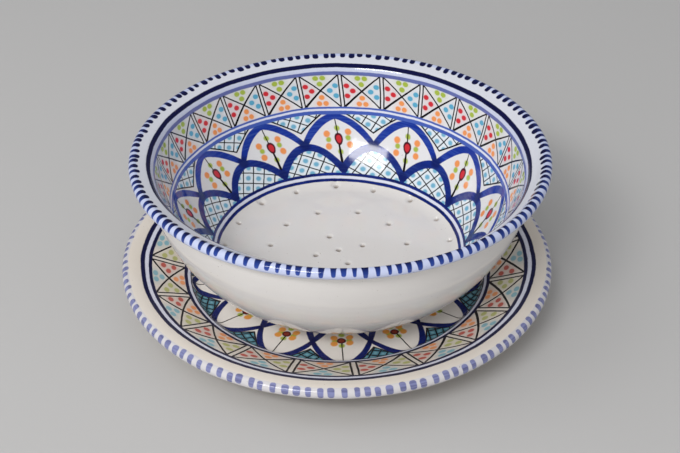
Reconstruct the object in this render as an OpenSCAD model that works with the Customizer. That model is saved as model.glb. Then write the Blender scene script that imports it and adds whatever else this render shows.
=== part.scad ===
// Berry colander bowl on its drip plate, in millimetres.
// Both pieces are thrown ceramic: each is a profile turned about Z, with the drain holes bored after.
// The bowl is one fired piece, given as wall, floor and foot ring so that its collision stays open.
// Z is up and the origin is on the table, in the middle of the plate's foot.

/* [Bowl] */
// Outer diameter over the rounded lip
bowl_d = 238.5; // [225:0.5:270]
// Height from the underside of the foot to the top of the lip
bowl_h = 85.5; // [76:0.5:105]
// Thickness of the floor and the flared band, and diameter of the rounded lip
bowl_t = 6; // [4.5:0.5:7.5]
// Diameter of the flat part of the floor
bowl_floor_d = 124; // [118:1:134]
// Radius between the floor and the wall, inside
bowl_floor_round = 14.5; // [10:0.5:18]
// Slope of the wall inside where it leaves that radius, in degrees
bowl_wall_slope = 47; // [43:0.5:52]
// Slope of the wall outside where it leaves the same radius, in degrees: a lower one thickens the belly
bowl_belly_slope = 36; // [32:0.5:42]
// Width of the straight part of the flared band inside the lip
bowl_band_w = 5.25; // [3:0.25:9]
// Slope of the flared band, in degrees
bowl_band_slope = 18; // [10:1:26]
// Radius between the wall and the flared band, inside
bowl_neck_in_round = 8; // [5:0.5:12]
// Radius of the hollow under the flared band, outside
bowl_neck_round = 5; // [3:0.5:8]
// Straight stretch between that hollow and the lip
bowl_lip_reach = 4.25; // [3:0.25:7]

/* [Bowl foot] */
// Outer diameter of the foot ring
bowl_foot_d = 104; // [96:1:110]
// Width of the foot ring
bowl_foot_w = 6; // [5:0.5:9]
// Height of the foot ring under the floor
bowl_foot_h = 10.5; // [7:0.5:15]
// Radius where the foot ring meets the floor
bowl_foot_blend = 2.5; // [1:0.5:4]
// Radius on the two lower edges of the foot ring
bowl_foot_round = 1.5; // [0.5:0.25:2.25]

/* [Drain holes] */
// Diameter of a drain hole
hole_d = 4; // [3:0.25:5]
// Room between the middle ring of holes and the foot
hole_foot_gap = 0.5; // [0.25:0.25:3]
// Distance of the outer ring of holes outside the flat of the floor
hole_outer_reach = 5; // [3:0.5:6]
// Holes in the inner ring
hole_inner_n = 4; // [3:1:6]
// Holes in the middle ring
hole_middle_n = 11; // [6:1:16]
// Holes in the outer ring
hole_outer_n = 17; // [10:1:24]

/* [Plate] */
// Outer diameter over the rounded lip
plate_d = 252; // [235:1:285]
// Thickness of the flange, and diameter of the rounded lip
plate_t = 6.5; // [5:0.5:8]
// Thickness of the base under the well
plate_base_t = 6.5; // [5:0.5:9]
// Height of the well's edge above the floor of the well
plate_step_h = 4; // [2.5:0.25:7]
// Diameter of the well at its edge
plate_ridge_d = 175; // [166:1:190]
// Radius between the floor of the well and its side
plate_well_round = 6; // [4:0.5:8]
// Radius over the edge of the well
plate_ridge_round = 4; // [2:0.5:6]
// Slope of the flange, in degrees
plate_flange_slope = 19.5; // [14:0.5:24]
// Radius by which the flange rolls over to the lip
plate_roll = 32; // [20:1:45]

/* [Plate foot] */
// Outer diameter of the foot ring
plate_foot_d = 152; // [144:1:156]
// Width of the foot ring
plate_foot_w = 7; // [5:0.5:10]
// Height of the foot ring under the base
plate_foot_h = 4.5; // [3.5:0.25:7]
// Radius where the foot ring meets the underside
plate_foot_blend = 2; // [0.5:0.25:2.5]
// Radius on the two lower edges of the foot ring
plate_foot_round = 1; // [0.5:0.25:1.5]

/* [Hidden] */

// Largest gap between a drawn arc and the true one
arc_gap = 0.03;
// Length by which a drill passes the surfaces it cuts
overrun = 1;
// Facets of a turned shape on screen
$fn = 180;

// Bowl, measured from the underside of its own foot
bowl_r = bowl_d / 2;
bowl_floor_r = bowl_floor_d / 2;
bowl_foot_r = bowl_foot_d / 2;
bowl_foot_in_r = bowl_foot_r - bowl_foot_w;
bowl_floor_z = bowl_foot_h + bowl_t;
bowl_lip_round = bowl_t / 2;

// Centres of the floor's radius, the lip, and the neck's inner and outer radius
floor_c = [bowl_floor_r, bowl_floor_z + bowl_floor_round];
lip_c = [bowl_r - bowl_lip_round, bowl_h - bowl_lip_round];
neck_in_c = polar(polar(lip_c, bowl_band_w, bowl_band_slope + 180),
    bowl_neck_in_round - bowl_lip_round, bowl_band_slope - 90);
neck_out_c = polar(polar(lip_c, bowl_lip_reach, bowl_band_slope + 180),
    bowl_neck_round + bowl_lip_round, bowl_band_slope - 90);

// Each side of the wall is the one arc that leaves the floor's radius smoothly and touches the neck's
wall_in_start = polar(floor_c, bowl_floor_round, bowl_wall_slope - 90);
wall_in_round = touching_radius(wall_in_start, bowl_wall_slope, neck_in_c, bowl_neck_in_round);
wall_in_c = polar(wall_in_start, wall_in_round, bowl_wall_slope + 90);
wall_in_end_slope = slope_between(wall_in_c, neck_in_c);
wall_out_start = polar(floor_c, bowl_floor_round + bowl_t, bowl_belly_slope - 90);
wall_out_round = touching_radius(wall_out_start, bowl_belly_slope, neck_out_c, bowl_neck_round);
wall_out_c = polar(wall_out_start, wall_out_round, bowl_belly_slope + 90);
wall_out_end_slope = slope_between(wall_out_c, neck_out_c);

// Rings of drain holes
hole_middle_r = bowl_foot_in_r - bowl_foot_blend - hole_foot_gap - hole_d / 2;
hole_inner_share = 0.35;
hole_inner_r = hole_middle_r * hole_inner_share;
hole_outer_r = bowl_floor_r + hole_outer_reach;
hole_inner_turn = 20;
hole_middle_turn = 9;
hole_outer_turn = 7.2;

// Plate, measured from the table
plate_foot_r = plate_foot_d / 2;
plate_foot_in_r = plate_foot_r - plate_foot_w;
plate_lip_round = plate_t / 2;
plate_lip_r = plate_d / 2 - plate_lip_round;
well_z = plate_foot_h + plate_base_t;
// Outer end of the rounded edge of the well, where the flange starts
ridge = [plate_ridge_d / 2, well_z + plate_step_h];
// Slope at which the side of the well passes from its lower radius to its upper one
well_slope = acos((plate_well_round + plate_ridge_round * cos(plate_flange_slope) - plate_step_h)
    / (plate_well_round + plate_ridge_round));
ridge_c = polar(ridge, plate_ridge_round, plate_flange_slope - 90);
well_c = [ridge_c[0] - (plate_ridge_round + plate_well_round) * sin(well_slope), well_z + plate_well_round];
// Top of the lip, and centre of the roll that leads to it
plate_roll_r = plate_lip_r - plate_roll * sin(plate_flange_slope);
plate_h = ridge[1] + (plate_roll_r - ridge[0]) * tan(plate_flange_slope)
    + plate_roll * (1 - cos(plate_flange_slope));
roll_c = [plate_lip_r, plate_h - plate_roll];
plate_lip_c = [plate_lip_r, plate_h - plate_lip_round];
// Centre of the radius between the underside of the flange and the foot
plate_blend_r = plate_foot_r + plate_foot_blend;
plate_blend_c = [plate_blend_r, ridge[1] + (plate_blend_r - ridge[0]) * tan(plate_flange_slope)
    - (plate_t + plate_foot_blend) / cos(plate_flange_slope)];

echo(wall_radius_inside = wall_in_round, wall_radius_outside = wall_out_round);
echo(bowl_rim_height = well_z + bowl_h, plate_height = plate_h);

// Point at a distance and an angle from a centre
function polar(c, r, a) = c + r * [cos(a), sin(a)];

// Radius of the arc that starts at a point with a given slope and touches a circle from inside
function touching_radius(start, slope, c, r) =
    let (reach = c - start, up = [-sin(slope), cos(slope)])
    (reach * reach - r * r) / (2 * (reach * up + r));

// Slope of an arc about the first centre at the point that faces the second
function slope_between(c0, c1) = atan2(c1[0] - c0[0], c0[1] - c1[1]);

// Points along an arc, as many as keep it within arc_gap of the true one
function arc(c, r, a0, a1) =
    let (n = max(2, ceil(abs(a1 - a0) / (2 * acos(1 - min(arc_gap / r, 1))))))
    [for (i = [0 : n]) polar(c, r, a0 + (a1 - a0) * i / n)];

// Outer side, rounded underside and inner side of a foot ring that stands at height zero
function foot(outer_r, inner_r, edge) = concat(
    arc([outer_r - edge, edge], edge, 0, -90),
    arc([inner_r + edge, edge], edge, -90, -180));

// Wall, band and lip, from the edge of the flat floor up and back down outside
function wall_profile() = concat(
    arc(floor_c, bowl_floor_round, -90, bowl_wall_slope - 90),
    arc(wall_in_c, wall_in_round, bowl_wall_slope - 90, wall_in_end_slope - 90),
    arc(neck_in_c, bowl_neck_in_round, wall_in_end_slope + 90, bowl_band_slope + 90),
    arc(lip_c, bowl_lip_round, bowl_band_slope + 90, bowl_band_slope - 90),
    arc(neck_out_c, bowl_neck_round, bowl_band_slope + 90, wall_out_end_slope + 90),
    arc(wall_out_c, wall_out_round, wall_out_end_slope - 90, bowl_belly_slope - 90),
    arc(floor_c, bowl_floor_round + bowl_t, bowl_belly_slope - 90, -90));

// Foot ring, with the radii that lead into the underside of the floor
function foot_profile() = concat(
    arc([bowl_foot_r + bowl_foot_blend, bowl_foot_h - bowl_foot_blend], bowl_foot_blend, 90, 180),
    foot(bowl_foot_r, bowl_foot_in_r, bowl_foot_round),
    arc([bowl_foot_in_r - bowl_foot_blend, bowl_foot_h - bowl_foot_blend], bowl_foot_blend, 0, 90));

function plate_profile() = concat(
    [[0, well_z]],
    arc(well_c, plate_well_round, -90, well_slope - 90),
    arc(ridge_c, plate_ridge_round, well_slope + 90, plate_flange_slope + 90),
    arc(roll_c, plate_roll, plate_flange_slope + 90, 90),
    arc(plate_lip_c, plate_lip_round, 90, -90),
    arc(roll_c, plate_roll - plate_t, 90, plate_flange_slope + 90),
    arc(plate_blend_c, plate_foot_blend, plate_flange_slope + 90, 180),
    foot(plate_foot_r, plate_foot_in_r, plate_foot_round),
    arc([plate_foot_in_r - plate_foot_blend, plate_foot_h - plate_foot_blend], plate_foot_blend, 0, 90),
    [[0, plate_foot_h]]);

// One drill through the floor, long enough for the rounded part of the floor too
module drain_hole() {
    translate([0, 0, bowl_foot_h - overrun])
        cylinder(d = hole_d, h = bowl_t + bowl_floor_round + overrun);
}

module hole_ring(ring_r, count, turn) {
    for (i = [0 : count - 1])
        rotate(turn + i * 360 / count)
            translate([ring_r, 0, 0])
                drain_hole();
}

module bowl_wall() {
    color("ivory")
        translate([0, 0, well_z])
            difference() {
                rotate_extrude()
                    polygon(wall_profile());
                hole_ring(hole_outer_r, hole_outer_n, hole_outer_turn);
            }
}

module bowl_floor() {
    color("ivory")
        translate([0, 0, well_z])
            difference() {
                translate([0, 0, bowl_foot_h])
                    cylinder(r = bowl_floor_r, h = bowl_t);
                drain_hole();
                hole_ring(hole_inner_r, hole_inner_n, hole_inner_turn);
                hole_ring(hole_middle_r, hole_middle_n, hole_middle_turn);
            }
}

module bowl_foot() {
    color("ivory")
        translate([0, 0, well_z])
            rotate_extrude()
                polygon(foot_profile());
}

module drip_plate() {
    color("antiquewhite")
        rotate_extrude()
            polygon(plate_profile());
}

drip_plate();
bowl_wall();
bowl_floor();
bowl_foot();
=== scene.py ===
# %% [markdown]
# # A painted colander bowl on its drip plate
# The object is two pieces of thrown pottery: a bowl with drain holes in its floor, and the plate that it
# stands on. Each was turned on a wheel, glazed white and painted by hand before the last firing. This lesson
# draws each profile once, spins it round, bores the holes, and then paints both pieces with shader nodes.

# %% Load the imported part
import math

import bmesh
import bpy
import numpy as np
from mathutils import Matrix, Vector


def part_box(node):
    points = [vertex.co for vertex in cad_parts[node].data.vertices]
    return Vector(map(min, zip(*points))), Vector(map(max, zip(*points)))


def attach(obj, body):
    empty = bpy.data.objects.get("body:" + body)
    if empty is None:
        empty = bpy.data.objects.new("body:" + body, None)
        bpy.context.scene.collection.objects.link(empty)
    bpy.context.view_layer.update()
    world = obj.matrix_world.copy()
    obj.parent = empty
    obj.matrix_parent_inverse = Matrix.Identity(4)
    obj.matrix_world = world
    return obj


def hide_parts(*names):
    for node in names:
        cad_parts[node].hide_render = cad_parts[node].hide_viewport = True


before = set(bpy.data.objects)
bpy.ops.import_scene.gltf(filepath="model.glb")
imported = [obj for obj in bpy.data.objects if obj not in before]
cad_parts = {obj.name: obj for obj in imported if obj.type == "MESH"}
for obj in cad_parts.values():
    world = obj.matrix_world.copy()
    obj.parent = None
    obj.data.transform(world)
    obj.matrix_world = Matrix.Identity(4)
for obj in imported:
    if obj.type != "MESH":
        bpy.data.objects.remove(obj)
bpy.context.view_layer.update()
MM = 0.001
BOWL_NODES = ("bowl_wall", "bowl_floor", "bowl_foot")
bowl_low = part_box("bowl_foot")[0]
bowl_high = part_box("bowl_wall")[1]
plate_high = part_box("drip_plate")[1]

# %% [markdown]
# ## Camera
# The bowl's and plate's stripes are circles, so their ellipses in the photograph tell where the camera stood:
# in front, about 35 degrees above the table, with a long lens. A camera turned only about X keeps the
# verticals upright, and no shift is needed, because the optical axis meets the middle of the picture.

# %% Place the camera
camera = bpy.data.objects.new("camera", bpy.data.cameras.new("camera"))
camera.data.sensor_width = 36
camera.data.lens = 85.8
camera.location = (0.001, -0.776, 0.5814)
camera.rotation_euler = (math.radians(55.3), 0, 0)
bpy.context.scene.collection.objects.link(camera)
bpy.context.scene.camera = camera
bpy.context.scene.view_settings.view_transform = "Standard"
print("camera at", tuple(camera.location))

# %% [markdown]
# ## Floor and light
# A glaze shows what it reflects, so the window lamp is placed by its reflections: the bright spots on the
# lips and the far wall lie where a window to the left of the camera would show. Two broad lamps, one behind
# the camera and one overhead on the left, stand for the room's light, and a soft world fills the shade.
# Glossy rays don't see the two lamps and see a dimmer world, or these would lay a pale veil over the dark
# paint. The floor is one plain pale sheet.

# %% Set the lamps
def soft_lamp(name, place, aim, size, watts, mirrored):
    lamp = bpy.data.objects.new(name, bpy.data.lights.new(name, "AREA"))
    lamp.data.shape = "RECTANGLE"
    lamp.data.size = size[0]
    lamp.data.size_y = size[1]
    lamp.data.energy = watts
    lamp.location = place
    way = Vector(aim) - lamp.location
    lamp.rotation_euler = way.to_track_quat("-Z", "Y").to_euler()
    lamp.visible_glossy = mirrored
    bpy.context.scene.collection.objects.link(lamp)


soft_lamp("window", place=(-0.76, -1.5, 1.63), aim=(0, 0, 0.06), size=(1.0, 0.38), watts=19, mirrored=True)
soft_lamp("room", place=(-0.7, -2.1, 1.5), aim=(0, 0, 0.05), size=(2.4, 1.4), watts=21, mirrored=False)
soft_lamp("screen", place=(-1.3, -0.25, 1.7), aim=(0, 0, 0.05), size=(1.3, 1.3), watts=7, mirrored=False)

# %% Set the world
SKY_COLOUR = (0.95, 0.97, 1.0, 1)
WORLD_STRENGTH = 0.46
MIRRORED_STRENGTH = 0.12

world = bpy.data.worlds.new("studio")
world.use_nodes = True
sky = world.node_tree
background = sky.nodes["Background"]
background.inputs["Color"].default_value = SKY_COLOUR
rays = sky.nodes.new("ShaderNodeLightPath")
dimmer = sky.nodes.new("ShaderNodeMapRange")
dimmer.inputs["To Min"].default_value = WORLD_STRENGTH
dimmer.inputs["To Max"].default_value = MIRRORED_STRENGTH
sky.links.new(rays.outputs["Is Glossy Ray"], dimmer.inputs["Value"])
sky.links.new(dimmer.outputs["Result"], background.inputs["Strength"])
bpy.context.scene.world = world
print("world at", WORLD_STRENGTH, "and mirrored at", MIRRORED_STRENGTH)

# %% Lay the floor
FLOOR_COLOUR = (0.53, 0.52, 0.51, 1)
FLOOR_ROUGHNESS = 0.7
FLOOR_HALF = 4

floor_bm = bmesh.new()
bmesh.ops.create_grid(floor_bm, x_segments=1, y_segments=1, size=FLOOR_HALF)
floor_mesh = bpy.data.meshes.new("floor")
floor_bm.to_mesh(floor_mesh)
floor_bm.free()
floor = bpy.data.objects.new("floor", floor_mesh)
bpy.context.scene.collection.objects.link(floor)
floor_paint = bpy.data.materials.new("floor")
floor_paint.use_nodes = True
floor_shader = floor_paint.node_tree.nodes["Principled BSDF"]
floor_shader.inputs["Base Color"].default_value = FLOOR_COLOUR
floor_shader.inputs["Roughness"].default_value = FLOOR_ROUGHNESS
floor_mesh.materials.append(floor_paint)
print("floor", 2 * FLOOR_HALF, "m wide")

# %% [markdown]
# ## A pen that draws profiles
# A potter's rib gives a pot its profile, and the wheel does the rest. A profile could be typed as a long list
# of points, but it is clearer to draw it as its maker thinks of it: a straight run, then an arc about a
# centre. Extruding one vertex draws a straight stretch, and spinning that vertex about a centre draws an arc,
# so two of Blender's own operators make the whole line. Sizes here are in millimetres.

# %% Draw lines and arcs with operators
FINE_STEP = 1.2


def line_to(bm, vert, r, z, step=FINE_STEP):
    """Draws a straight stretch from the last point and returns the new end."""
    start = vert.co.copy()
    end = Vector((r, 0, z))
    count = max(1, round((end - start).length / step))
    for i in range(count):
        vert = bmesh.ops.extrude_vert_indiv(bm, verts=[vert])["verts"][0]
        vert.co = start.lerp(end, (i + 1) / count)
    return vert


def arc_about(bm, vert, centre, turn, step=FINE_STEP):
    """Draws an arc from the last point about a centre, anticlockwise in degrees, and returns the new end."""
    cent = (centre[0], 0, centre[1])
    radius = (vert.co - Vector(cent)).length
    steps = max(4, math.ceil(radius * abs(math.radians(turn)) / step))
    made = bmesh.ops.spin(bm, geom=[vert], cent=cent, axis=(0, -1, 0), angle=math.radians(turn), steps=steps)
    return made["geom_last"][0]


def polar(centre, radius, degrees):
    a = math.radians(degrees)
    return centre[0] + radius * math.cos(a), centre[1] + radius * math.sin(a)


def points_in_order(bm, start):
    """The drawn line as a list of (radius, height), from its first point to its last."""
    line, seen, vert = [], set(), start
    while vert is not None:
        line.append((vert.co.x, vert.co.z))
        seen.add(vert)
        ahead = [e.other_vert(vert) for e in vert.link_edges if e.other_vert(vert) not in seen]
        vert = ahead[0] if ahead else None
    return np.array(line)


print("pen ready, one point every", FINE_STEP, "mm")

# %% [markdown]
# ## The bowl's profile
# The line starts in the middle of the floor inside, climbs the wall, turns over the flared band and the lip,
# and comes back down the fuller belly outside to the foot ring. The wall inside and the belly outside are one
# large arc each: the one that leaves the floor's rounding smoothly and touches the small arc at the neck.

# %% Set the bowl's sizes
BOWL_T = 6
FLOOR_R = 62
FLOOR_ROUND = 14.5
WALL_SLOPE = 47
BELLY_SLOPE = 36
BAND_W = 5.25
BAND_SLOPE = 18
NECK_IN_ROUND = 8
NECK_ROUND = 5
LIP_REACH = 4.25
BOWL_FOOT_R = 52
BOWL_FOOT_W = 6
BOWL_FOOT_H = 10.5
BOWL_FOOT_BLEND = 2.5
BOWL_FOOT_ROUND = 1.5

bowl_r = bowl_high.x / MM
bowl_foot_z = bowl_low.z / MM
bowl_h = (bowl_high.z - bowl_low.z) / MM
print("bowl", round(2 * bowl_r, 1), "mm wide and", round(bowl_h, 1), "mm high")

# %% Draw the bowl's profile
def touching_radius(start, slope, centre, radius):
    """Radius of the arc that starts at a point with a slope and touches a circle from inside."""
    a = math.radians(slope)
    across, up = centre[0] - start[0], centre[1] - start[1]
    lift = up * math.cos(a) - across * math.sin(a)
    return (across**2 + up**2 - radius**2) / (2 * (lift + radius))


def slope_between(c0, c1):
    return math.degrees(math.atan2(c1[0] - c0[0], c0[1] - c1[1]))


def draw_bowl():
    under_z = bowl_foot_z + BOWL_FOOT_H
    floor_z = under_z + BOWL_T
    floor_c = (FLOOR_R, floor_z + FLOOR_ROUND)
    lip = BOWL_T / 2
    lip_c = (bowl_r - lip, bowl_foot_z + bowl_h - lip)
    neck_in_c = polar(polar(lip_c, BAND_W, BAND_SLOPE + 180), NECK_IN_ROUND - lip, BAND_SLOPE - 90)
    neck_out_c = polar(polar(lip_c, LIP_REACH, BAND_SLOPE + 180), NECK_ROUND + lip, BAND_SLOPE - 90)
    wall_start = polar(floor_c, FLOOR_ROUND, WALL_SLOPE - 90)
    wall_round = touching_radius(wall_start, WALL_SLOPE, neck_in_c, NECK_IN_ROUND)
    wall_c = polar(wall_start, wall_round, WALL_SLOPE + 90)
    wall_end = slope_between(wall_c, neck_in_c)
    belly_start = polar(floor_c, FLOOR_ROUND + BOWL_T, BELLY_SLOPE - 90)
    belly_round = touching_radius(belly_start, BELLY_SLOPE, neck_out_c, NECK_ROUND)
    belly_c = polar(belly_start, belly_round, BELLY_SLOPE + 90)
    belly_end = slope_between(belly_c, neck_out_c)
    foot_in = BOWL_FOOT_R - BOWL_FOOT_W
    blend_z = under_z - BOWL_FOOT_BLEND

    bm = bmesh.new()
    start = bm.verts.new((0, 0, floor_z))
    pen = line_to(bm, start, FLOOR_R, floor_z, step=3)
    pen = arc_about(bm, pen, floor_c, WALL_SLOPE)
    pen = arc_about(bm, pen, wall_c, wall_end - WALL_SLOPE)
    pen = arc_about(bm, pen, neck_in_c, BAND_SLOPE - wall_end)
    pen = line_to(bm, pen, *polar(lip_c, lip, BAND_SLOPE + 90))
    pen = arc_about(bm, pen, lip_c, -180, step=0.8)
    pen = line_to(bm, pen, *polar(neck_out_c, NECK_ROUND, BAND_SLOPE + 90))
    pen = arc_about(bm, pen, neck_out_c, belly_end - BAND_SLOPE)
    pen = arc_about(bm, pen, belly_c, BELLY_SLOPE - belly_end, step=2)
    pen = arc_about(bm, pen, floor_c, -BELLY_SLOPE, step=2)
    pen = line_to(bm, pen, BOWL_FOOT_R + BOWL_FOOT_BLEND, under_z, step=3)
    pen = arc_about(bm, pen, (BOWL_FOOT_R + BOWL_FOOT_BLEND, blend_z), 90)
    pen = line_to(bm, pen, BOWL_FOOT_R, bowl_foot_z + BOWL_FOOT_ROUND, step=3)
    pen = arc_about(bm, pen, (BOWL_FOOT_R - BOWL_FOOT_ROUND, bowl_foot_z + BOWL_FOOT_ROUND), -90)
    pen = line_to(bm, pen, foot_in + BOWL_FOOT_ROUND, bowl_foot_z)
    pen = arc_about(bm, pen, (foot_in + BOWL_FOOT_ROUND, bowl_foot_z + BOWL_FOOT_ROUND), -90)
    pen = line_to(bm, pen, foot_in, blend_z, step=3)
    pen = arc_about(bm, pen, (foot_in - BOWL_FOOT_BLEND, blend_z), 90)
    line_to(bm, pen, 0, under_z, step=3)
    return bm, points_in_order(bm, start), floor_z


bowl_bm, bowl_line, bowl_floor_z = draw_bowl()
print("bowl profile:", len(bowl_line), "points, widest", round(bowl_line[:, 0].max(), 2))

# %% [markdown]
# ## The plate's profile
# The plate has a flat well where the bowl stands, a small step at the well's edge, and a flange that slopes
# up and rolls over level to a rounded lip. The underside follows the flange down to a wide foot ring.

# %% Set the plate's sizes
PLATE_T = 6.5
PLATE_BASE_T = 6.5
STEP_H = 4
RIDGE_R = 87.5
WELL_ROUND = 6
RIDGE_ROUND = 4
FLANGE_SLOPE = 19.5
ROLL = 32
PLATE_FOOT_R = 76
PLATE_FOOT_W = 7
PLATE_FOOT_H = 4.5
PLATE_FOOT_BLEND = 2
PLATE_FOOT_ROUND = 1

plate_r = plate_high.x / MM
plate_h = plate_high.z / MM
print("plate", round(2 * plate_r, 1), "mm wide and", round(plate_h, 1), "mm high")

# %% Draw the plate's profile
def draw_plate():
    slope = math.radians(FLANGE_SLOPE)
    well_z = PLATE_FOOT_H + PLATE_BASE_T
    ridge = (RIDGE_R, well_z + STEP_H)
    ridge_c = polar(ridge, RIDGE_ROUND, FLANGE_SLOPE - 90)
    rise = WELL_ROUND + RIDGE_ROUND * math.cos(slope) - STEP_H
    reach = WELL_ROUND + RIDGE_ROUND
    well_slope = math.degrees(math.acos(rise / reach))
    well_c = (ridge_c[0] - reach * math.sin(math.radians(well_slope)), well_z + WELL_ROUND)
    lip_r = plate_r - PLATE_T / 2
    roll_c = (lip_r, plate_h - ROLL)
    lip_c = (lip_r, plate_h - PLATE_T / 2)
    foot_in = PLATE_FOOT_R - PLATE_FOOT_W
    blend_r = PLATE_FOOT_R + PLATE_FOOT_BLEND
    flange_z = ridge[1] + (blend_r - ridge[0]) * math.tan(slope)
    blend_c = (blend_r, flange_z - (PLATE_T + PLATE_FOOT_BLEND) / math.cos(slope))

    bm = bmesh.new()
    start = bm.verts.new((0, 0, well_z))
    pen = line_to(bm, start, well_c[0], well_z, step=3)
    pen = arc_about(bm, pen, well_c, well_slope)
    pen = arc_about(bm, pen, ridge_c, FLANGE_SLOPE - well_slope)
    pen = line_to(bm, pen, *polar(roll_c, ROLL, FLANGE_SLOPE + 90))
    pen = arc_about(bm, pen, roll_c, -FLANGE_SLOPE)
    pen = arc_about(bm, pen, lip_c, -180, step=0.8)
    pen = arc_about(bm, pen, roll_c, FLANGE_SLOPE, step=2)
    pen = line_to(bm, pen, *polar(blend_c, PLATE_FOOT_BLEND, FLANGE_SLOPE + 90), step=3)
    pen = arc_about(bm, pen, blend_c, 90 - FLANGE_SLOPE)
    pen = line_to(bm, pen, PLATE_FOOT_R, PLATE_FOOT_ROUND, step=3)
    pen = arc_about(bm, pen, (PLATE_FOOT_R - PLATE_FOOT_ROUND, PLATE_FOOT_ROUND), -90)
    pen = line_to(bm, pen, foot_in + PLATE_FOOT_ROUND, 0)
    pen = arc_about(bm, pen, (foot_in + PLATE_FOOT_ROUND, PLATE_FOOT_ROUND), -90)
    pen = line_to(bm, pen, foot_in, PLATE_FOOT_H - PLATE_FOOT_BLEND, step=3)
    pen = arc_about(bm, pen, (foot_in - PLATE_FOOT_BLEND, PLATE_FOOT_H - PLATE_FOOT_BLEND), 90)
    line_to(bm, pen, 0, PLATE_FOOT_H, step=3)
    return bm, points_in_order(bm, start)


plate_bm, plate_line = draw_plate()
print("plate profile:", len(plate_line), "points, widest", round(plate_line[:, 0].max(), 2))

# %% [markdown]
# ## Turn the profiles on the wheel
# Spinning the line a full turn makes the surface, as the wheel did. The first and last copies have to be
# merged, and the ends of the line meet on the axis in a ring of doubles, which are merged to one point. Only
# then are the normals recalculated, so that they all point out of the clay.

# %% Spin both pieces
TURN_STEPS = 192


def turned(bm, name):
    """Spins a profile about Z, closes its poles and returns it as an object."""
    geom = bm.verts[:] + bm.edges[:]
    bmesh.ops.spin(
        bm, geom=geom, cent=(0, 0, 0), axis=(0, 0, 1), angle=math.tau, steps=TURN_STEPS, use_merge=True
    )
    bmesh.ops.remove_doubles(bm, verts=bm.verts, dist=0.001)
    bmesh.ops.recalc_face_normals(bm, faces=bm.faces)
    mesh = bpy.data.meshes.new(name)
    bm.to_mesh(mesh)
    bm.free()
    piece = bpy.data.objects.new(name, mesh)
    bpy.context.scene.collection.objects.link(piece)
    return piece


bowl = turned(bowl_bm, "painted_bowl")
plate = turned(plate_bm, "painted_plate")
print("bowl faces", len(bowl.data.polygons), "plate faces", len(plate.data.polygons))

# %% [markdown]
# ## Drain holes
# The potter pushed a thin tool through the soft floor, which left a dimple round each hole, and the glaze
# softened its edge. The holes lie in three rings round one in the middle, and each wanders a little from its
# place. A ring is given by its radius, its number of holes and its turn. A Boolean modifier does both cuts:
# first shallow balls for the dimples, then thin rods for the holes, each set joined in one cutter.

# %% Place the drain holes
HOLE_RINGS = ((0, 1, 0), (14.35, 4, 20), (41, 11, 9), (67, 17, 7.2))
HOLE_WANDER = 0.7
WANDER_STEPS = (2.3, 3.1)


def hole_places():
    """Place of each hole on the floor, and the way out of the floor there."""
    places = []
    for ring_r, count, turn in HOLE_RINGS:
        lean = math.asin(max(0, ring_r - FLOOR_R) / FLOOR_ROUND)
        z = bowl_floor_z + FLOOR_ROUND * (1 - math.cos(lean))
        for i in range(count):
            a = math.radians(turn + 360 * i / count)
            way = (-math.sin(lean) * math.cos(a), -math.sin(lean) * math.sin(a), math.cos(lean))
            x = ring_r * math.cos(a) + HOLE_WANDER * math.sin(WANDER_STEPS[0] * i + ring_r)
            y = ring_r * math.sin(a) + HOLE_WANDER * math.sin(WANDER_STEPS[1] * i + 2 * ring_r)
            places.append(((x, y, z), way))
    return places


print("holes:", len(hole_places()))

# %% Cut the dimples and bore the holes
HOLE_R = 1.7
DIMPLE_R = 2.5
DIMPLE_DEPTH = 0.6
DIMPLE_BALL_R = (DIMPLE_R**2 + DIMPLE_DEPTH**2) / (2 * DIMPLE_DEPTH)


def dimple(bm):
    return bmesh.ops.create_uvsphere(bm, u_segments=40, v_segments=30, radius=DIMPLE_BALL_R)


def rod(bm):
    return bmesh.ops.create_cone(
        bm, cap_ends=True, segments=24, radius1=HOLE_R, radius2=HOLE_R, depth=4 * BOWL_T
    )


def cutter(name, add_shape, lift):
    """One object with a shape at each hole, lifted out of the floor."""
    bm = bmesh.new()
    for place, way in hole_places():
        verts = add_shape(bm)["verts"]
        bmesh.ops.translate(bm, verts=verts, vec=[w * lift for w in way])
        bmesh.ops.translate(bm, verts=verts, vec=place)
    mesh = bpy.data.meshes.new(name)
    bm.to_mesh(mesh)
    bm.free()
    tool = bpy.data.objects.new(name, mesh)
    bpy.context.scene.collection.objects.link(tool)
    return tool


def cut(piece, tool):
    knife = piece.modifiers.new("cut", "BOOLEAN")
    knife.operation = "DIFFERENCE"
    knife.solver = "EXACT"
    knife.object = tool
    seen = piece.evaluated_get(bpy.context.evaluated_depsgraph_get())
    mesh = bpy.data.meshes.new_from_object(seen)
    piece.modifiers.clear()
    piece.data = mesh
    bpy.data.objects.remove(tool)


cut(bowl, cutter("dimples", dimple, lift=DIMPLE_BALL_R - DIMPLE_DEPTH))
cut(bowl, cutter("rods", rod, lift=0))
print("bowl faces", len(bowl.data.polygons))

# %% [markdown]
# ## Where each point lies on the profile
# The painter works along the surface, so the paint needs two measures: the angle round the axis, which the
# shader can work out, and the distance along the profile from the outermost point of the lip. That distance,
# called the run, is stored on each corner of a face: positive inside, negative outside. The wall of a drain
# hole joins the inside to the outside, so it would cross every painted run. Such faces get a run beyond the
# middle of the floor, which grows with the depth, so that the paint can darken deep in the hole: painted
# shade over the tone of bare clay. A second map lays the surface out flat for baking, with most of its height
# for the painted part.

# %% Measure along a profile
def run_of(line):
    """Distance along the profile from the lip, at each of its points."""
    steps = np.linalg.norm(np.diff(line, axis=0), axis=1)
    along = np.concatenate([[0], np.cumsum(steps)])
    return along[line[:, 0].argmax()] - along


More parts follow.
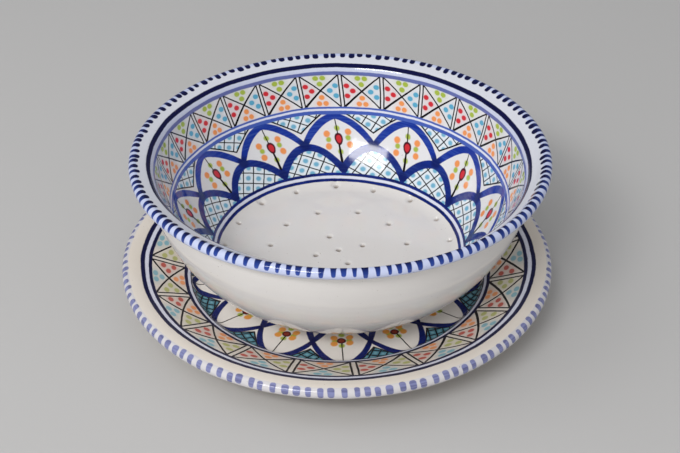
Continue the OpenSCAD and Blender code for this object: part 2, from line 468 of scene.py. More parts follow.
def run_at(line, places):
    """Run of the nearest point of the profile, for many (radius, height) places."""
    runs, nearest, best = run_of(line), np.zeros(len(places)), np.full(len(places), np.inf)
    for a, b, run_a, run_b in zip(line[:-1], line[1:], runs[:-1], runs[1:]):
        way = b - a
        share = np.clip((places - a) @ way / (way @ way), 0, 1)
        gap = ((places - a - share[:, None] * way) ** 2).sum(1)
        closer = gap < best
        best[closer] = gap[closer]
        nearest[closer] = (run_a + share * (run_b - run_a))[closer]
    return nearest


print("bowl's run from", round(run_of(bowl_line)[-1], 1), "to", round(run_of(bowl_line)[0], 1))

# %% Store the run and lay out the bake map
THROUGH = 40
BAKE_ROWS = (0.01, 0.14, 0.9, 0.98, 0.985, 0.995)
BAKE_MARGIN = 0.005


def places_of(mesh):
    places = np.empty(len(mesh.vertices) * 3)
    mesh.vertices.foreach_get("co", places)
    return places.reshape(-1, 3)


def corners_of(mesh):
    corner = np.empty(len(mesh.loops), int)
    mesh.loops.foreach_get("vertex_index", corner)
    return corner


def measure(piece, line, painted):
    mesh = piece.data
    places = places_of(mesh)
    corner = corners_of(mesh)
    starts = np.empty(len(mesh.polygons), int)
    mesh.polygons.foreach_get("loop_start", starts)
    totals = np.empty(len(mesh.polygons), int)
    mesh.polygons.foreach_get("loop_total", totals)

    radius = np.hypot(places[:, 0], places[:, 1])
    run = run_at(line, np.stack([radius, places[:, 2]], 1))[corner]
    ends = run_of(line)
    spread = np.maximum.reduceat(run, starts) - np.minimum.reduceat(run, starts)
    bored = np.repeat(spread > THROUGH, totals)
    run[bored] = ends[0] + np.where(run[bored] > 0, 1, 2) * THROUGH
    mesh.attributes.new("run", "FLOAT", "CORNER").data.foreach_set("value", run.astype(np.float32))

    middle = np.add.reduceat(places[corner], starts, axis=0) / totals[:, None]
    face_turn = np.repeat(np.arctan2(middle[:, 0], middle[:, 1]), totals)
    turn = np.arctan2(places[corner, 0], places[corner, 1])
    turn = face_turn + (turn - face_turn + math.pi) % math.tau - math.pi
    known = [ends[-1], *painted, ends[0], ends[0] + THROUGH, ends[0] + 2 * THROUGH]
    height = np.interp(run, known, BAKE_ROWS)
    across = BAKE_MARGIN + (1 - 2 * BAKE_MARGIN) * (turn / math.tau + 0.5)
    flat = np.stack([across, height], 1)
    layer = mesh.uv_layers.new(name="OFBake")
    layer.uv.foreach_set("vector", flat.astype(np.float32).ravel())
    print(piece.name, "run from", round(run.min(), 1), "to", round(run.max(), 1))


measure(bowl, bowl_line, painted=(-8, 90))
measure(plate, plate_line, painted=(-8, 110))

# %% [markdown]
# ## The potter's hand
# Nothing thrown by hand is quite true. The bowl's belly hangs a little fuller in front, its flared band dips
# on one side, its rim leans while its foot stays flat, and both rims are very slightly oval. Moving the
# vertices by smooth formulas keeps the surface smooth, and the paint, which follows the stored run, moves
# with the clay. The dip is given by the runs at which it starts, is full, eases and ends. The meshes are
# then scaled to metres.

# %% Swell, dip and lean the forms
SWELL = (1.2, -3.8)
SWELL_FADE = 12
SWELL_GAP = 3
DIP_DEPTH = 3.8
DIP_AIM = 140
DIP_RUNS = (5.2, 11, 17, 34)
BOWL_LEAN = 0.0175


def eased(share):
    """Goes from none to all of a change without a crease."""
    share = np.clip(share, 0, 1)
    return share**2 * (3 - 2 * share)


def swell_and_dip(piece):
    """Moves the belly outside towards the front, and lowers the flared band inside towards one side."""
    mesh = piece.data
    x, y, z = places_of(mesh).T
    corner = corners_of(mesh)
    stored = np.empty(len(corner), np.float32)
    mesh.attributes["run"].data.foreach_get("value", stored)
    run = np.full(len(z), np.inf)
    np.minimum.at(run, corner, stored)
    beyond_foot = np.hypot(x, y) - BOWL_FOOT_R - SWELL_GAP
    belly = eased(-run / SWELL_FADE) * eased(beyond_foot / SWELL_FADE)
    belly *= 1 - (z - bowl_foot_z) / bowl_h
    start, full, ease, end = DIP_RUNS
    band = eased((run - start) / (full - start)) * eased((end - run) / (end - ease))
    side = (0.5 + 0.5 * np.cos(np.arctan2(x, y) - math.radians(DIP_AIM))) ** 3
    moved = np.stack([x + SWELL[0] * belly, y + SWELL[1] * belly, z - DIP_DEPTH * band * side], 1)
    mesh.vertices.foreach_set("co", moved.ravel())


def shape_by_hand(piece, base_z, height, lean, sway, oval):
    mesh = piece.data
    x, y, z = places_of(mesh).T
    share = (z - base_z) / height
    angle = np.arctan2(x, y)
    out = 1 + oval * share * (np.sin(2 * angle + 0.7) + 0.5 * np.sin(3 * angle + 2.1))
    lift = share * (-lean * y + 0.25 * oval * height * np.sin(3 * angle + 0.4))
    moved = np.stack([x * out + sway * share, y * out, z + lift], 1) * MM
    mesh.vertices.foreach_set("co", moved.ravel())
    mesh.shade_smooth()
    mesh.update()


swell_and_dip(bowl)
shape_by_hand(bowl, base_z=bowl_foot_z, height=bowl_h, lean=BOWL_LEAN, sway=1.25, oval=0.0012)
shape_by_hand(plate, base_z=0, height=plate_h, lean=0, sway=-0.9, oval=0.001)
print("bowl size", [round(v, 4) for v in bowl.dimensions])

# %% [markdown]
# ## Arithmetic on a surface
# A painted pattern is a question asked at each point: how far is this point from the middle of the stroke? In
# Blender that is a chain of Math nodes. A small class lets Python's own signs add those nodes, so that a
# formula reads as it would on paper. A mask is then a distance turned into cover, with a soft edge.

# %% Wrap sockets so that formulas can be written
def feed(tree, socket, value):
    if isinstance(value, Field):
        tree.links.new(value.socket, socket)
    else:
        socket.default_value = value


class Field:
    """A value that changes over the surface. Arithmetic on it adds Math nodes to its tree."""

    def __init__(self, tree, socket):
        self.tree = tree
        self.socket = socket

    def math(self, operation, *others):
        node = self.tree.nodes.new("ShaderNodeMath")
        node.operation = operation
        for socket, value in zip(node.inputs, (self, *others)):
            feed(self.tree, socket, value)
        return Field(self.tree, node.outputs["Value"])

    def __add__(self, other):
        return self.math("ADD", other)

    def __sub__(self, other):
        return self.math("SUBTRACT", other)

    def __mul__(self, other):
        return self.math("MULTIPLY", other)

    def __truediv__(self, other):
        return self.math("DIVIDE", other)

    def __pow__(self, other):
        return self.math("POWER", other)

    def __abs__(self):
        return self.math("ABSOLUTE")

    def least(self, other):
        return self.math("MINIMUM", other)

    def most(self, other):
        return self.math("MAXIMUM", other)

    def part(self):
        """What is left after the whole number, so that a pattern repeats."""
        return self.math("FRACT")


print("fields ready")

# %% Turn distances into masks
def away(x, y):
    """Distance from a point, from its two parts."""
    return (x * x + y * y).math("SQRT")


def covered(distance, soft=0.18):
    """Cover of paint: one where the distance is below zero, none above, with a soft edge."""
    node = distance.tree.nodes.new("ShaderNodeMapRange")
    node.interpolation_type = "SMOOTHSTEP"
    feed(distance.tree, node.inputs["Value"], distance)
    node.inputs["From Min"].default_value = -soft
    node.inputs["From Max"].default_value = soft
    node.inputs["To Min"].default_value = 1
    node.inputs["To Max"].default_value = 0
    return Field(distance.tree, node.outputs["Result"])


print("masks ready")

# %% Open, fill and place node groups
def start_group(name, inputs, outputs):
    """A shader node group with named number sockets; returns its tree, its inputs and its output node."""
    tree = bpy.data.node_groups.new(name, "ShaderNodeTree")
    for title in inputs:
        tree.interface.new_socket(title, in_out="INPUT", socket_type="NodeSocketFloat")
    for title in outputs:
        tree.interface.new_socket(title, in_out="OUTPUT", socket_type="NodeSocketFloat")
    source = tree.nodes.new("NodeGroupInput")
    result = tree.nodes.new("NodeGroupOutput")
    return tree, {title: Field(tree, source.outputs[title]) for title in inputs}, result


def put_out(tree, result, **masks):
    for title, field in masks.items():
        tree.links.new(field.socket, result.inputs[title.replace("_", " ").capitalize()])


def placed(tree, group, **values):
    """Places a group in a tree, feeds its inputs and returns its outputs as fields."""
    node = tree.nodes.new("ShaderNodeGroup")
    node.node_tree = group
    for title, value in values.items():
        feed(tree, node.inputs[title.replace("_", " ").capitalize()], value)
    return {socket.name: Field(tree, socket) for socket in node.outputs}


def noise(tree, vector, scale, detail=2):
    node = tree.nodes.new("ShaderNodeTexNoise")
    node.inputs["Scale"].default_value = scale
    node.inputs["Detail"].default_value = detail
    tree.links.new(vector, node.inputs["Vector"])
    return node


print("groups ready")

# %% [markdown]
# ## The painter's place on the pot
# Every stroke is drawn by a hand that drifts and trembles. This group reads the object's coordinates and the
# stored run, and gives back the turn, radius and run of the brush after two noises have moved it: a slow
# drift over centimetres and a fine tremble at the edge of the stroke. The rings near the lip also sit a
# little off centre, as they do when the pot isn't put back true on the wheel. The group gives the streaks
# that brush hairs leave along a stroke too, which are long round the pot and short across.

# %% Build the painter's place
SWING_PEAK = 14
SWING_END = 40
HAIR_STRETCH = 6000


def build_place():
    tree, into, result = start_group(
        "Painter's place",
        ("Drift", "Tremble", "Off centre", "Off aim"),
        ("Turn", "Radius", "Run", "Streak", "True run"),
    )
    coords = tree.nodes.new("ShaderNodeTexCoord").outputs["Object"]
    split = tree.nodes.new("ShaderNodeSeparateXYZ")
    tree.links.new(coords, split.inputs[0])
    x = Field(tree, split.outputs["X"])
    y = Field(tree, split.outputs["Y"])
    radius = away(x, y) * (1 / MM)
    angle = x.math("ARCTAN2", y)
    stored = tree.nodes.new("ShaderNodeAttribute")
    stored.attribute_name = "run"
    run = Field(tree, stored.outputs["Fac"])
    swing = (run / SWING_PEAK).least((run * -1 + SWING_END) / (SWING_END - SWING_PEAK)).most(0)
    off = (angle - into["Off aim"] * (math.pi / 180)).math("COSINE") * into["Off centre"] * swing

    slow = tree.nodes.new("ShaderNodeSeparateColor")
    tree.links.new(noise(tree, coords, scale=38).outputs["Color"], slow.inputs[0])
    fine = tree.nodes.new("ShaderNodeSeparateColor")
    tree.links.new(noise(tree, coords, scale=420).outputs["Color"], fine.inputs[0])
    shift = []
    for channel in ("Red", "Green"):
        drift = (Field(tree, slow.outputs[channel]) - 0.5) * into["Drift"] * 2
        tremble = (Field(tree, fine.outputs[channel]) - 0.5) * into["Tremble"] * 2
        shift.append(drift + tremble)
    turn = angle / math.tau + shift[0] / (radius * math.tau)
    drawn = run + shift[1] - off

    hairs = tree.nodes.new("ShaderNodeCombineXYZ")
    feed(tree, hairs.inputs["X"], x / radius * HAIR_STRETCH)
    feed(tree, hairs.inputs["Y"], y / radius * HAIR_STRETCH)
    feed(tree, hairs.inputs["Z"], drawn)
    streak = Field(tree, noise(tree, hairs.outputs[0], scale=0.9).outputs["Fac"])
    put_out(tree, result, turn=turn, radius=radius, run=drawn, streak=streak, true_run=run)
    return tree


place_group = build_place()
print("group", place_group.name, len(place_group.nodes), "nodes")

# %% [markdown]
# ## Ring lines
# A ring is the easiest stroke on a wheel: the brush is held still while the pot turns. It is a band of the
# run between two values, and the drift already makes it waver.

# %% Build the ring line
def build_ring():
    tree, into, result = start_group("Ring line", ("Run", "Start", "End"), ("Mask",))
    middle = (into["Start"] + into["End"]) / 2
    half = (into["End"] - into["Start"]) / 2
    put_out(tree, result, mask=covered(abs(into["Run"] - middle) - half, 0.25))
    return tree


ring_group = build_ring()
print("group", ring_group.name, len(ring_group.nodes), "nodes")

# %% [markdown]
# ## Dashes round a lip
# The lip carries a row of short dashes, each pressed down at its inner end and lifted as it wraps over the
# edge, so it tapers. White noise on the number of the dash makes each one a little longer, wider or further
# along than its neighbours.

# %% Build the lip dashes
def build_dashes():
    tree, into, result = start_group(
        "Lip dashes",
        ("Turn", "Run", "Radius", "Count", "Inner", "Outer", "Share", "Taper", "Slant"),
        ("Mask", "Depth"),
    )
    pitch = into["Radius"] * math.tau / into["Count"]
    place = into["Turn"] * into["Count"] + into["Slant"] * into["Run"]
    number = tree.nodes.new("ShaderNodeTexWhiteNoise")
    number.noise_dimensions = "1D"
    feed(tree, number.inputs["W"], place.math("FLOOR"))
    chance = tree.nodes.new("ShaderNodeSeparateColor")
    tree.links.new(number.outputs["Color"], chance.inputs[0])
    luck = [Field(tree, chance.outputs[c]) - 0.5 for c in ("Red", "Green", "Blue")]
    length = into["Inner"] - into["Outer"]
    depth = (into["Run"] - into["Outer"] + luck[0] * 1.4) / length
    narrowing = depth.least(0.75) * into["Taper"] + 1 - into["Taper"]
    half = into["Share"] * pitch / 2 * (luck[1] * 0.35 + 1) * narrowing
    round_end = half * 0.85
    x = abs((place.part() - 0.5 + luck[2] * 0.25) * pitch) - half + round_end
    y = (abs(depth - 0.5) - 0.5) * length + round_end
    edge = away(x.most(0), y.most(0)) - round_end
    put_out(tree, result, mask=covered(edge, 0.22), depth=depth)
    return tree


dash_group = build_dashes()
print("group", dash_group.name, len(dash_group.nodes), "nodes")

# %% [markdown]
# ## Crossed panels
# The upper band is cut into panels by pairs of thin upright lines, and each panel is crossed from corner to
# corner. The four triangles get three dots each, two by the panel's edge and one towards its middle. Because
# the triangles are alike, the point is folded into one of them, so two dot distances serve all twelve dots.

# %% Build the crossed panels
def build_panels():
    tree, into, result = start_group(
        "Crossed panels",
        ("Turn", "Run", "Radius", "Count", "Phase", "Lean", "Start", "Height", "Gap", "Line", "Dot", "Wash"),
        ("Ink", "Left", "Right", "Upper", "Lower"),
    )
    pitch = into["Radius"] * math.tau / into["Count"]
    w = (into["Run"] - into["Start"]) / into["Height"]
    across = (into["Turn"] * into["Count"] + into["Phase"] - into["Lean"] * (w - 0.5)).part()
    gap = into["Gap"] / pitch
    e = (across - gap) / (gap * -1 + 1)
    width = pitch - into["Gap"]
    scale = width * into["Height"] / away(width, into["Height"])
    falling = abs(e - w) * scale
    rising = abs(e + w - 1) * scale - w * 0.25
    first = (abs(across - 0.5) * -1 + 0.5) * pitch
    second = abs(across - gap) * pitch
    lines = falling.least(rising).least(first).least(second) - into["Line"]
    band = covered((abs(w - 0.5) - 0.5) * into["Height"])
    ink = covered(lines, 0.16) * band

    a = abs(e - 0.5)
    b = abs(w - 0.5)
    side = covered(b - a, 0.001)
    from_edge = a.most(b) * -1 + 0.5
    from_axis = a.least(b)
    pair = away(from_edge - 0.105, from_axis - 0.09 - side * 0.065)
    single = away(from_edge - 0.29 + side * 0.03, from_axis)
    dot = pair.least(single) * into["Height"] * 1.05 - into["Dot"]
    wash = covered(dot - 1.4, 2.2) * covered(lines * -1 + 0.4, 0.4) * into["Wash"]
    cover = covered(dot, 0.4).most(wash) * band * covered(e * -1, 0.001)
    left = covered(e - 0.5, 0.001)
    top = covered(w - 0.5, 0.001)
    put_out(
        tree,
        result,
        ink=ink,
        left=cover * side * left,
        right=cover * side * (left * -1 + 1),
        upper=cover * (side * -1 + 1) * top,
        lower=cover * (side * -1 + 1) * (top * -1 + 1),
    )
    return tree


panel_group = build_panels()
print("group", panel_group.name, len(panel_group.nodes), "nodes")

# %% [markdown]
# ## Crossing arches
# Below the panels runs the main ornament: a row of broad arches whose feet cross, with a second row hung
# from the crossings, so that each pair encloses a petal with a stem, a red bud and small dots. Spaces left
# over are hatched and dotted. The curves are powers of the distance from the stem, and each distance is
# divided by the curve's steepness, so that the stroke keeps its breadth where the arch comes down. The bend
# of the second row is an input, because it is round in the bowl and nearly straight on the plate.

# %% Build the crossing arches
def build_arches():
    tree, into, result = start_group(
        "Crossing arches",
        ("Turn", "Run", "Radius", "Count", "Lean", "Top", "Edge", "Crossing", "Foot", "Base", "Stroke")
        + ("Bend", "Bud", "Bud width", "Bud height", "Spread", "Stem end")
        + ("Vee", "Vee slope", "Hatch", "Hatch line", "Hatch below"),
        ("Arch", "Pool", "Ink", "Bud rim", "Bud heart", "Orange", "Green", "Hatch dots", "Hatch wash"),
    )
    run, top, crossing, foot = (into[title] for title in ("Run", "Top", "Crossing", "Foot"))
    pitch = into["Radius"] * math.tau / into["Count"]
    down = (run - top) / (foot - top)
    place = into["Turn"] * into["Count"] - into["Lean"] * (down - 0.4)
    t = place - place.math("ROUND")
    x = t * pitch
    q = abs(t) * 2
    p = q * -1 + 1
    upper = top + (crossing - top) * q**1.6
    steep = (crossing - top) * q**0.6 * 3.2 / pitch
    upper_gap = abs(run - upper) / (steep * steep + 1).math("SQRT")
    drop = crossing + 1.4
    bend = into["Bend"]
    lower = drop + (foot - drop) * p**bend
    steep = (foot - drop) * p ** (bend - 1) * bend * 2 / pitch
    lower_gap = abs(run - lower) / (steep * steep + 1).math("SQRT")
    blob = away(x, run - foot + 1) - into["Stroke"] * 1.4
    swell = q * p * 0.9 + 0.82
    edge = (upper_gap - into["Stroke"] * swell).least(lower_gap - into["Stroke"] * 1.08).least(blob)
    band = covered(into["Edge"] - run) * covered(run - into["Base"])
    arch = covered(edge, 0.25) * band

    petal = covered(upper - run + 0.6) * covered(run - lower + 0.6)
    bud_y = run - into["Bud"]
    thick = (bud_y * 0.03 + 0.5).most(0.35)
    stem = covered(abs(x) - thick) * petal * covered(run - into["Stem end"])
    bud = away((x - 0.3) / (into["Bud width"] - bud_y * 0.12), bud_y / into["Bud height"])
    spread = into["Spread"]
    fold = abs(x) / spread
    rise = bud_y / spread
    orange = away(fold - 7, abs(rise + x * 0.08) - 4) * spread - 2.1
    beside = away(fold - 6.4, rise + x * 0.08 + 0.3) * spread - 1.7
    along = away(x / spread - 0.2, abs(rise - 0.5) - 7.5) * spread - 1.75

    x2 = (place.part() - 0.5) * pitch
    y2 = run - crossing
    one = ((x2 * 0.8 + y2 * 0.6) / into["Hatch"]).part() - 0.5
    two = ((x2 * 0.42 - y2 * 0.91) / into["Hatch"]).part() - 0.5
    strokes = (abs(one).most(abs(two)) * -1 + 0.5) * into["Hatch"]
    spot = (away(one, two) - 0.235) * into["Hatch"]
    pool = away(x2, y2).least(away(x, run - foot + 1)) - into["Stroke"] * 2
    vee = crossing - into["Vee"] - run - abs(x2) * into["Vee slope"]
    above = covered(vee * -1) * covered(into["Edge"] - run)
    below = covered(lower - run + 0.8) * covered(run - into["Base"]) * into["Hatch below"]
    wash = above + below
    hatch = covered(strokes - into["Hatch line"], 0.16) * wash
    outline = covered(abs(vee) * 0.8 - into["Hatch line"] - 0.1) * covered(into["Edge"] - run)
    put_out(
        tree,
        result,
        arch=arch,
        pool=covered(pool, 2.5),
        ink=stem.most(hatch).most(outline) * band,
        bud_rim=covered(bud - 1, 0.1),
        bud_heart=covered(bud - 0.64, 0.14),
        orange=covered(orange, 0.5) * petal,
        green=covered(beside.least(along), 0.6) * petal,
        hatch_dots=covered(spot, 0.65) * wash * band,
        hatch_wash=wash * band,
    )
    return tree


arch_group = build_arches()
print("group", arch_group.name, len(arch_group.nodes), "nodes")

# %% [markdown]
# ## The glaze itself
# White tin glaze is never one flat white. It is a little warmer where it is thin and cooler where it pooled,
# carries a few specks of iron, and follows the faint rings that the thrower's fingers left. This group gives
# the tint, the specks, the roughness and the height of that skin. Shaders stay in the materials.

# %% Build the glaze skin
def build_skin():
    tree, into, result = start_group("Glaze skin", ("Run",), ("Warmth", "Specks", "Roughness", "Height"))
    coords = tree.nodes.new("ShaderNodeTexCoord").outputs["Object"]
    warmth = Field(tree, noise(tree, coords, scale=22, detail=3).outputs["Fac"])
    grains = Field(tree, noise(tree, coords, scale=900, detail=1).outputs["Fac"])
    rare = Field(tree, noise(tree, coords, scale=130, detail=1).outputs["Fac"])
    specks = covered(grains * -1 + 0.76, 0.02) * covered(rare * -1 + 0.56, 0.05)
    rings = tree.nodes.new("ShaderNodeCombineXYZ")
    feed(tree, rings.inputs["Z"], into["Run"])
    grooves = Field(tree, noise(tree, rings.outputs[0], scale=0.16, detail=1).outputs["Fac"])
    peel = Field(tree, noise(tree, coords, scale=60, detail=1).outputs["Fac"])
    put_out(
        tree,
        result,
        warmth=warmth,
        specks=specks,
        roughness=warmth * 0.06 + 0.05,
        height=grooves * 0.6 + peel * 0.4,
    )
    return tree


skin_group = build_skin()
print("group", skin_group.name, len(skin_group.nodes), "nodes")

# %% [markdown]
# ## Pigments and brushes
# The painter has a few pigments: navy and cobalt, a thin lavender wash, black for the fine lines, and red,
# green, orange and turquoise for the dots. They are written as they look on screen and turned to the linear
# numbers that Blender mixes. A stroke is then a Mix node whose factor is the mask.

# %% Mix the pigments
def pigment(red, green, blue):
    """A colour given as screen values from 0 to 255, in linear numbers."""
    shares = [v / 255 for v in (red, green, blue)]
    return [v / 12.92 if v <= 0.04045 else ((v + 0.055) / 1.055) ** 2.4 for v in shares] + [1]


NAVY = pigment(9, 13, 62)
COBALT = pigment(22, 50, 148)
SEA_BLUE = pigment(50, 78, 164)
THIN_BLUE = pigment(70, 95, 178)
LAVENDER = pigment(192, 201, 233)
PALE = pigment(222, 224, 238)
INK = pigment(18, 15, 20)
RED = pigment(206, 48, 58)
GREEN = pigment(166, 184, 72)
ORANGE = pigment(238, 150, 88)
TURQUOISE = pigment(92, 168, 200)
BUD_RIM = pigment(70, 16, 30)
CLAY = pigment(196, 170, 140)
IRON = pigment(120, 92, 70)
print("navy in linear numbers", [round(v, 3) for v in NAVY])

# %% Take up the brushes
BARE_ROUGHNESS = 0.6
SKIN_STRENGTH = 0.12
SKIN_DEPTH = 0.0006


def stroke(tree, under, over, share):
    """Lays paint over what is there, where the mask says."""
    node = tree.nodes.new("ShaderNodeMix")
    node.data_type = "RGBA"
    a, b = (socket for socket in node.inputs if socket.type == "RGBA")
    feed(tree, node.inputs[0], share)
    feed(tree, a, under)
    feed(tree, b, over)
    return Field(tree, next(socket for socket in node.outputs if socket.type == "RGBA"))


def layered(tree, coat, *layers):
    """Lays coat over coat, each given as its paint and its mask."""
    for paint, mask in layers:
        coat = stroke(tree, coat, paint, mask)
    return coat


def ring(tree, place, start, end):
    return placed(tree, ring_group, run=place["Run"], start=start, end=end)["Mask"]


def start_glaze(name, pale, warm, drift, off, aim):
    """A material with the painter's place, the glaze skin and its white ground."""
    material = bpy.data.materials.new(name)
    material.use_nodes = True
    tree = material.node_tree
    place = placed(tree, place_group, drift=drift, tremble=0.16, off_centre=off, off_aim=aim)
    skin = placed(tree, skin_group, run=place["True run"])
    ground = stroke(tree, pale, warm, skin["Warmth"])
    return material, tree, place, skin, ground


def finish_glaze(material, coat, skin, run, line, base_z):
    """Adds the specks, bares the clay under the foot and feeds the shader."""
    tree = material.node_tree
    foot = run_of(line)[line[:, 1] < base_z + 0.5]
    bare = placed(tree, ring_group, run=run, start=foot.min(), end=foot.max())["Mask"]
    coat = layered(tree, coat, (IRON, skin["Specks"] * 0.5), (CLAY, bare))
    shader = tree.nodes["Principled BSDF"]
    tree.links.new(coat.socket, shader.inputs["Base Color"])
    tree.links.new((skin["Roughness"] + bare * BARE_ROUGHNESS).socket, shader.inputs["Roughness"])
    bump = tree.nodes.new("ShaderNodeBump")
    bump.inputs["Strength"].default_value = SKIN_STRENGTH
    bump.inputs["Distance"].default_value = SKIN_DEPTH
    tree.links.new(skin["Height"].socket, bump.inputs["Height"])
    tree.links.new(bump.outputs["Normal"], shader.inputs["Normal"])
    return material


print("brushes ready")

# %% [markdown]
# ## Paint the bowl
# From the lip inwards: a lavender wash with dark dashes, a plain white band, a navy ring with a pale one
# under it, a blue line, the crossed panels, a double blue ring, the arches, and a double navy ring round the
# floor, which stays white. Each coat is one line below, in the order in which it is laid. The runs are in
# millimetres from the outermost point of the lip. A thin lavender veil from the lip to the blue line is a
# painted cool reflection and shade, and the drain holes darken inwards with painted shade over bare clay.

# %% Paint the bowl
BOWL_PALE = pigment(231, 228, 225)
BOWL_WARM = pigment(223, 218, 213)
WHITE = pigment(226, 225, 226)
# A painted cool reflection and shade, laid thinly over the plain white band of the flare.
FLARE_COOL_SHADE = pigment(196, 202, 222)
HATCH_WASH = pigment(224, 232, 237)
# Painted shade deep in the drain holes, over the tone of bare clay.
HOLE_SHADE_AND_CLAY = pigment(168, 157, 148)


def paint_bowl():
    material, tree, place, skin, ground = start_glaze(
        "bowl_glaze", BOWL_PALE, BOWL_WARM, drift=0.7, off=0.75, aim=90
    )
    at = {title.lower(): place[title] for title in ("Turn", "Run", "Radius")}
    streak = place["Streak"]
    blue = stroke(tree, NAVY, COBALT, (streak - 0.25) * 1.6)
    cobalt = stroke(tree, COBALT, SEA_BLUE, (streak - 0.42) * 3)
    dash = placed(
        tree, dash_group, **at, count=130, inner=7.8, outer=-0.9, share=0.74, taper=0.55, slant=0
    )
    panel = placed(
        tree, panel_group, **at, count=25, phase=0.975, lean=0.1, start=20.1, height=20.6, gap=2.2,
        line=0.46, dot=1.7, wash=0.2
    )
    warp = (at["turn"] * math.tau).math("SINE") * 0.0064 + at["turn"]
    arch = placed(
        tree, arch_group, turn=warp, run=at["run"], radius=at["radius"], count=12, lean=0.145,
        top=46.6, edge=45.3, crossing=63.9, foot=80.5, base=82.9, stroke=2.2, bend=1.85,
        bud=61.2, bud_width=2.7, bud_height=3.9, spread=1, stem_end=82.2,
        vee=7.8, vee_slope=0.66, hatch=6.8, hatch_line=0.36, hatch_below=1
    )
    pooled = (arch["Pool"] * 0.7).most(covered(at["run"] * -1 + 65, 3) * 0.45)
    hole_depth = (place["True run"] - run_of(bowl_line)[0] - THROUGH) / THROUGH
    coat = layered(
        tree,
        ground,
        (WHITE, ring(tree, place, 5.5, 83)),
        # Painted cool reflection and shade over the flared band.
        (FLARE_COOL_SHADE, ring(tree, place, 5, 18) * 0.4),
        (LAVENDER, ring(tree, place, -4.6, 6.4) * 0.9),
        (stroke(tree, SEA_BLUE, NAVY, dash["Depth"] * 1.4), dash["Mask"]),
        (NAVY, ring(tree, place, 12.5, 15.5)),
        (LAVENDER, ring(tree, place, 15.5, 18.2) * 0.5),
        (cobalt, ring(tree, place, 18, 20.4) * 0.85),
        (RED, panel["Left"]),
        (TURQUOISE, panel["Right"]),
        (GREEN, panel["Upper"]),
        (ORANGE, panel["Lower"]),
        (INK, panel["Ink"]),
        (THIN_BLUE, ring(tree, place, 40.6, 45.6)),
        (PALE, ring(tree, place, 41.8, 43.1)),
        (HATCH_WASH, arch["Hatch wash"]),
        (TURQUOISE, arch["Hatch dots"] * 0.9),
        (GREEN, arch["Green"]),
        (ORANGE, arch["Orange"]),
        (INK, arch["Ink"]),
        (BUD_RIM, arch["Bud rim"]),
        (RED, arch["Bud heart"]),
        (stroke(tree, cobalt, NAVY, pooled), arch["Arch"]),
        (blue, ring(tree, place, 82.4, 88.1)),
        (PALE, ring(tree, place, 84.3, 86.1)),
        # Painted shade: each drain hole darkens with depth, over the tone of bare clay.
        (HOLE_SHADE_AND_CLAY, covered(hole_depth * -1 + 0.2, 0.19)),
    )
    return finish_glaze(material, coat, skin, place["True run"], bowl_line, bowl_foot_z)


bowl.data.materials.clear()
bowl.data.materials.append(paint_bowl())
print("bowl material", len(bowl.data.materials[0].node_tree.nodes), "nodes")

# %% [markdown]
# ## Paint the plate
# The plate carries the same ornaments in the same order, on a creamier ground and in thinner blue: pale
# dashes over the lip, two navy rings, panels on the flange, a dark ring on the well's edge and arches in the
# well. The arches run on under the bowl, where they show when it is lifted off.

# %% Paint the plate
PLATE_PALE = pigment(229, 222, 214)
PLATE_WARM = pigment(222, 212, 199)
LIP_WASH = pigment(207, 205, 209)
PALE_DASH = pigment(118, 124, 174)
DEEP_DASH = pigment(64, 68, 122)
WELL_WHITE = pigment(238, 232, 225)
TEAL = pigment(80, 130, 146)
PALE_BLUE = pigment(126, 178, 192)
DUSTY_RED = pigment(187, 64, 50)
DUSTY_GREEN = pigment(178, 180, 104)
AMBER = pigment(234, 158, 74)
BROWN_BUD = pigment(138, 50, 34)


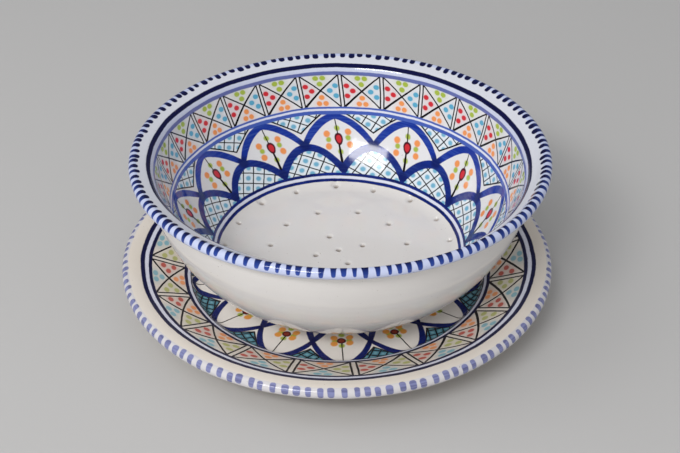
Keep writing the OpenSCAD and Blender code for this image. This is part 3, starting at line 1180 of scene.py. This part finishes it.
def paint_plate():
    material, tree, place, skin, ground = start_glaze(
        "plate_glaze", PLATE_PALE, PLATE_WARM, drift=0.8, off=0.9, aim=235
    )
    at = {title.lower(): place[title] for title in ("Turn", "Run", "Radius")}
    streak = place["Streak"]
    blue = stroke(tree, NAVY, COBALT, streak * 0.55)
    dash = placed(
        tree, dash_group, **at, count=124, inner=5.2, outer=-0.8, share=0.62, taper=0.2, slant=-0.01
    )
    panel = placed(
        tree, panel_group, **at, count=19, phase=0.815, lean=0, start=19, height=20.8, gap=3.4,
        line=0.6, dot=1.75, wash=0.3
    )
    arch = placed(
        tree, arch_group, turn=at["turn"] + 0.0432, run=at["run"], radius=at["radius"], count=13, lean=0,
        top=45.4, edge=44, crossing=63.8, foot=96, base=99, stroke=1.75, bend=1.1,
        bud=66.2, bud_width=2.6, bud_height=2.4, spread=0.62, stem_end=66.2,
        vee=6.2, vee_slope=0.9, hatch=4.2, hatch_line=0.42, hatch_below=0
    )
    coat = layered(
        tree,
        ground,
        (LIP_WASH, ring(tree, place, -5.5, 5.6) * 0.85),
        (stroke(tree, PALE_DASH, DEEP_DASH, (streak - 0.4) * 3), dash["Mask"] * 0.9),
        (NAVY, ring(tree, place, 12.2, 19.2)),
        (PALE, ring(tree, place, 14.8, 17)),
        (DUSTY_GREEN, panel["Left"] * 0.9),
        (DUSTY_RED, panel["Right"] * 0.9),
        (PALE_BLUE, panel["Upper"] * 0.9),
        (ORANGE, panel["Lower"] * 0.9),
        (INK, panel["Ink"]),
        (NAVY, ring(tree, place, 39.4, 44)),
        (PALE, ring(tree, place, 41.5, 43.1)),
        (WELL_WHITE, ring(tree, place, 44, 99)),
        (TEAL, arch["Hatch wash"]),
        (PALE_BLUE, arch["Hatch dots"] * 0.7),
        (GREEN, arch["Green"]),
        (AMBER, arch["Orange"]),
        (INK, arch["Ink"]),
        (BUD_RIM, arch["Bud rim"]),
        (BROWN_BUD, arch["Bud heart"]),
        (stroke(tree, blue, NAVY, arch["Pool"] * 0.7), arch["Arch"]),
        (blue, ring(tree, place, 99, 104)),
        (PALE, ring(tree, place, 100.7, 102.3)),
    )
    return finish_glaze(material, coat, skin, place["True run"], plate_line, base_z=0)


plate.data.materials.clear()
plate.data.materials.append(paint_plate())
print("plate material", len(plate.data.materials[0].node_tree.nodes), "nodes")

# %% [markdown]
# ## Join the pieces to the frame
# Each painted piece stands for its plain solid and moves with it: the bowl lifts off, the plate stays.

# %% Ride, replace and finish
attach(bowl, "bowl")
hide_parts(*BOWL_NODES)
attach(plate, "plate")
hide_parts("drip_plate")
